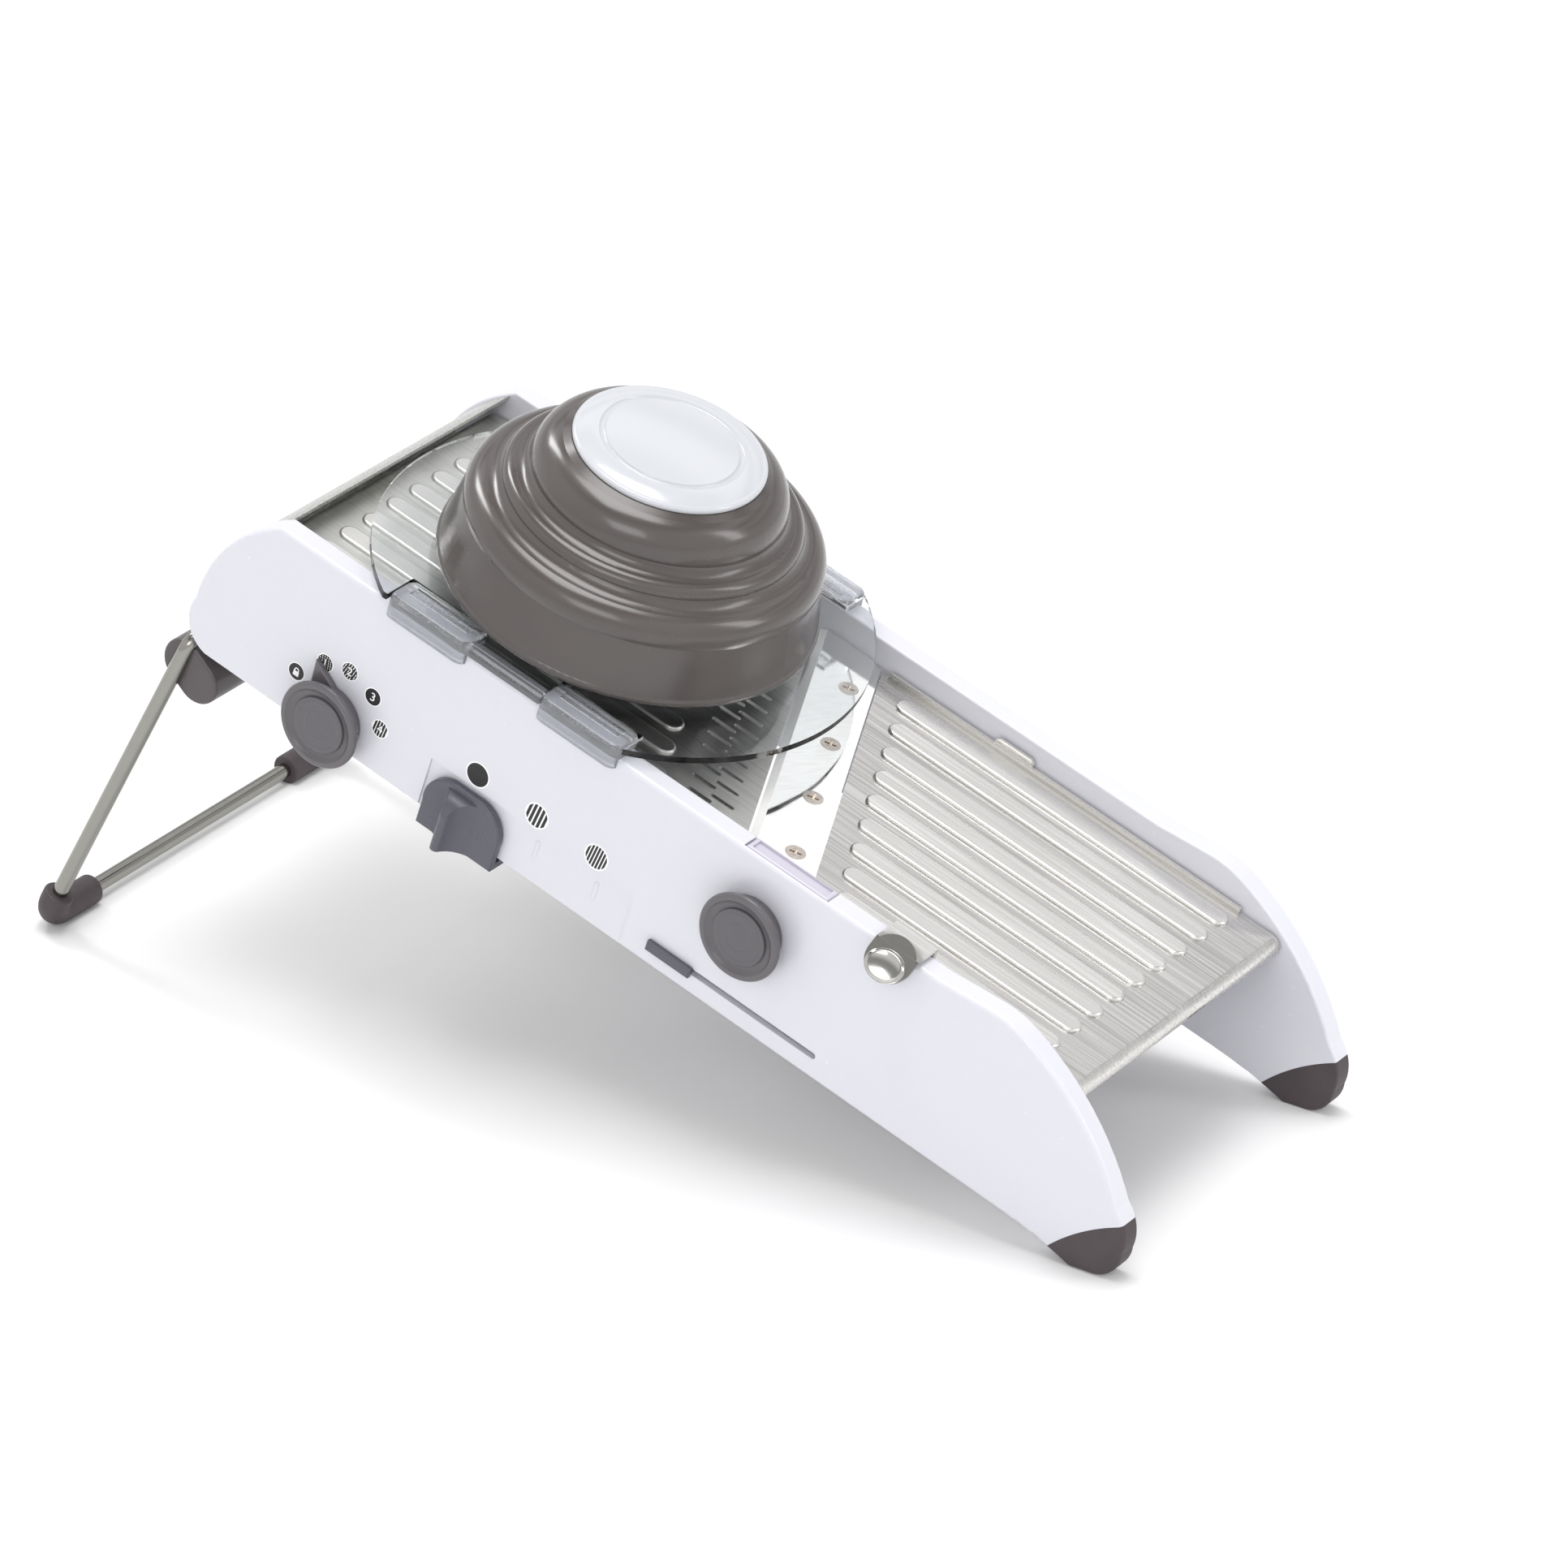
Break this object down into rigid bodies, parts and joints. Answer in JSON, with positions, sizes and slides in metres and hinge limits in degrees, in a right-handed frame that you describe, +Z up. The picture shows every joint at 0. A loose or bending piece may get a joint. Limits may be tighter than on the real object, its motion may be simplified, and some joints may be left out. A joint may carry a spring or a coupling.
{
  "type": "mandoline slicer",
  "caption": "Table mandoline with a folding wire stand, thickness dial, julienne comb selector, skewed blade, lifting tray and a sliding clear food guard with a domed pusher",
  "frame": {"origin": "middle of the outline's footprint on the table, directly below the bounding box centre", "axes": "+X toward the low front feet, -Y toward the side wall with the dial, +Z up"},
  "size_m": [0.4678, 0.1766, 0.233],
  "materials": {
    "white_plastic": "glossy moulded white ABS",
    "foot_rubber": "satin dark warm grey rubber",
    "steel_sheet": "brushed stainless sheet",
    "steel_blade": "mirror polished stainless blade",
    "steel_wire": "polished stainless rod",
    "screw_steel": "plain steel screws",
    "grey_knob": "satin grey plastic",
    "slider_grey": "satin blue grey plastic",
    "dome_grey": "satin warm grey plastic",
    "cap_white": "glossy white plastic",
    "clear_plastic": "clear SAN plastic",
    "grip_lavender": "pale lavender white plastic"
  },
  "bodies": {
    "frame": {"near_side_wall": "white_plastic", "far_side_wall": "white_plastic", "front_foot_near": "foot_rubber", "front_foot_far": "foot_rubber", "rear_cover": "steel_sheet", "stand_bracket": "steel_sheet", "mid_cross_bar": "white_plastic", "front_cross_bar": "white_plastic", "guide_bridge": "white_plastic", "blade_bed": "white_plastic", "blade_plate": "steel_blade", "blade_screws": "screw_steel", "cassette_grip": "grip_lavender", "ramp_hinge_pin": "steel_wire"},
    "stand": {"stand_arm_near": "steel_wire", "stand_arm_far": "steel_wire", "stand_crossbar": "steel_wire", "stand_corner_near": "foot_rubber", "stand_corner_far": "foot_rubber", "stand_hub_near": "grey_knob", "stand_hub_far": "grey_knob", "stand_axle": "steel_wire"},
    "tray": {"tray_plate": "steel_sheet", "tray_hinge_pin": "steel_wire"},
    "ramp": {"ramp_plate": "steel_sheet"},
    "dial": {"thickness_dial": "grey_knob", "dial_cap": "grey_knob", "dial_shaft": "steel_wire", "dial_pinion_near": "grey_knob", "dial_pinion_far": "grey_knob"},
    "racks": {"thickness_rack_near": "grey_knob", "thickness_rack_far": "grey_knob"},
    "selector": {"julienne_selector": "slider_grey", "julienne_slide_frame": "slider_grey"},
    "combs": {"comb_carrier": "white_plastic", "wide_comb": "steel_blade", "narrow_comb": "steel_blade"},
    "knob": {"blade_knob": "grey_knob", "blade_knob_cap": "grey_knob", "blade_knob_shaft": "steel_wire", "lock_cam": "grey_knob"},
    "catch": {"catch_slider": "slider_grey", "catch_bar": "slider_grey"},
    "guard": {"guard_base": "clear_plastic", "guard_runner_near": "clear_plastic", "guard_runner_far": "clear_plastic"},
    "pusher": {"pusher_dome": "dome_grey", "palm_cap": "cap_white", "pusher_plate": "clear_plastic"}
  },
  "joints": [
    {"name": "stand_fold", "type": "hinge", "parent": "frame", "child": "stand", "pos_m": [-0.16779, 0, 0.11645], "axis": [0, -1, 0], "range_deg": [0, 97]},
    {"name": "dial_turn", "type": "hinge", "parent": "frame", "child": "dial", "pos_m": [-0.1009, 0, 0.11926], "axis": [0, 1, 0], "range_deg": [-33, 99]},
    {"name": "rack_slide", "type": "slide", "parent": "frame", "child": "racks", "axis": [0.9478, 0, -0.319], "range_m": [-0.0041, 0.0122]},
    {"name": "ramp_tilt", "type": "hinge", "parent": "frame", "child": "ramp", "pos_m": [-0.13006, 0, 0.1737], "axis": [0, 1, 0], "range_deg": [-0.6, 1.72]},
    {"name": "selector_slide", "type": "slide", "parent": "frame", "child": "selector", "axis": [0.9478, 0, -0.319], "range_m": [0, 0.0528]},
    {"name": "comb_lift", "type": "slide", "parent": "frame", "child": "combs", "axis": [0.319, 0, 0.9478], "range_m": [0, 0.0161]},
    {"name": "knob_turn", "type": "hinge", "parent": "frame", "child": "knob", "pos_m": [0.08028, -0.07375, 0.09015], "axis": [0, -1, 0], "range_deg": [0, 90]},
    {"name": "catch_slide", "type": "slide", "parent": "frame", "child": "catch", "axis": [0.9478, 0, -0.319], "range_m": [0, 0.053]},
    {"name": "tray_lift", "type": "hinge", "parent": "frame", "child": "tray", "pos_m": [0.20476, 0, 0.06187], "axis": [0, 1, 0], "range_deg": [0, 60]},
    {"name": "guard_slide", "type": "slide", "parent": "frame", "child": "guard", "axis": [-0.9478, 0, 0.319], "range_m": [-0.112, 0.055]},
    {"name": "pusher_lift", "type": "slide", "parent": "guard", "child": "pusher", "axis": [0.319, 0, 0.9478], "range_m": [0, 0.04]}
  ],
  "couplings": [
    {"joint": "rack_slide", "follows": "dial_turn", "m_per_rad": 0.007},
    {"joint": "ramp_tilt", "follows": "dial_turn", "ratio": 0.01697},
    {"joint": "comb_lift", "follows": "selector_slide", "ratio": 0.30303}
  ]
}
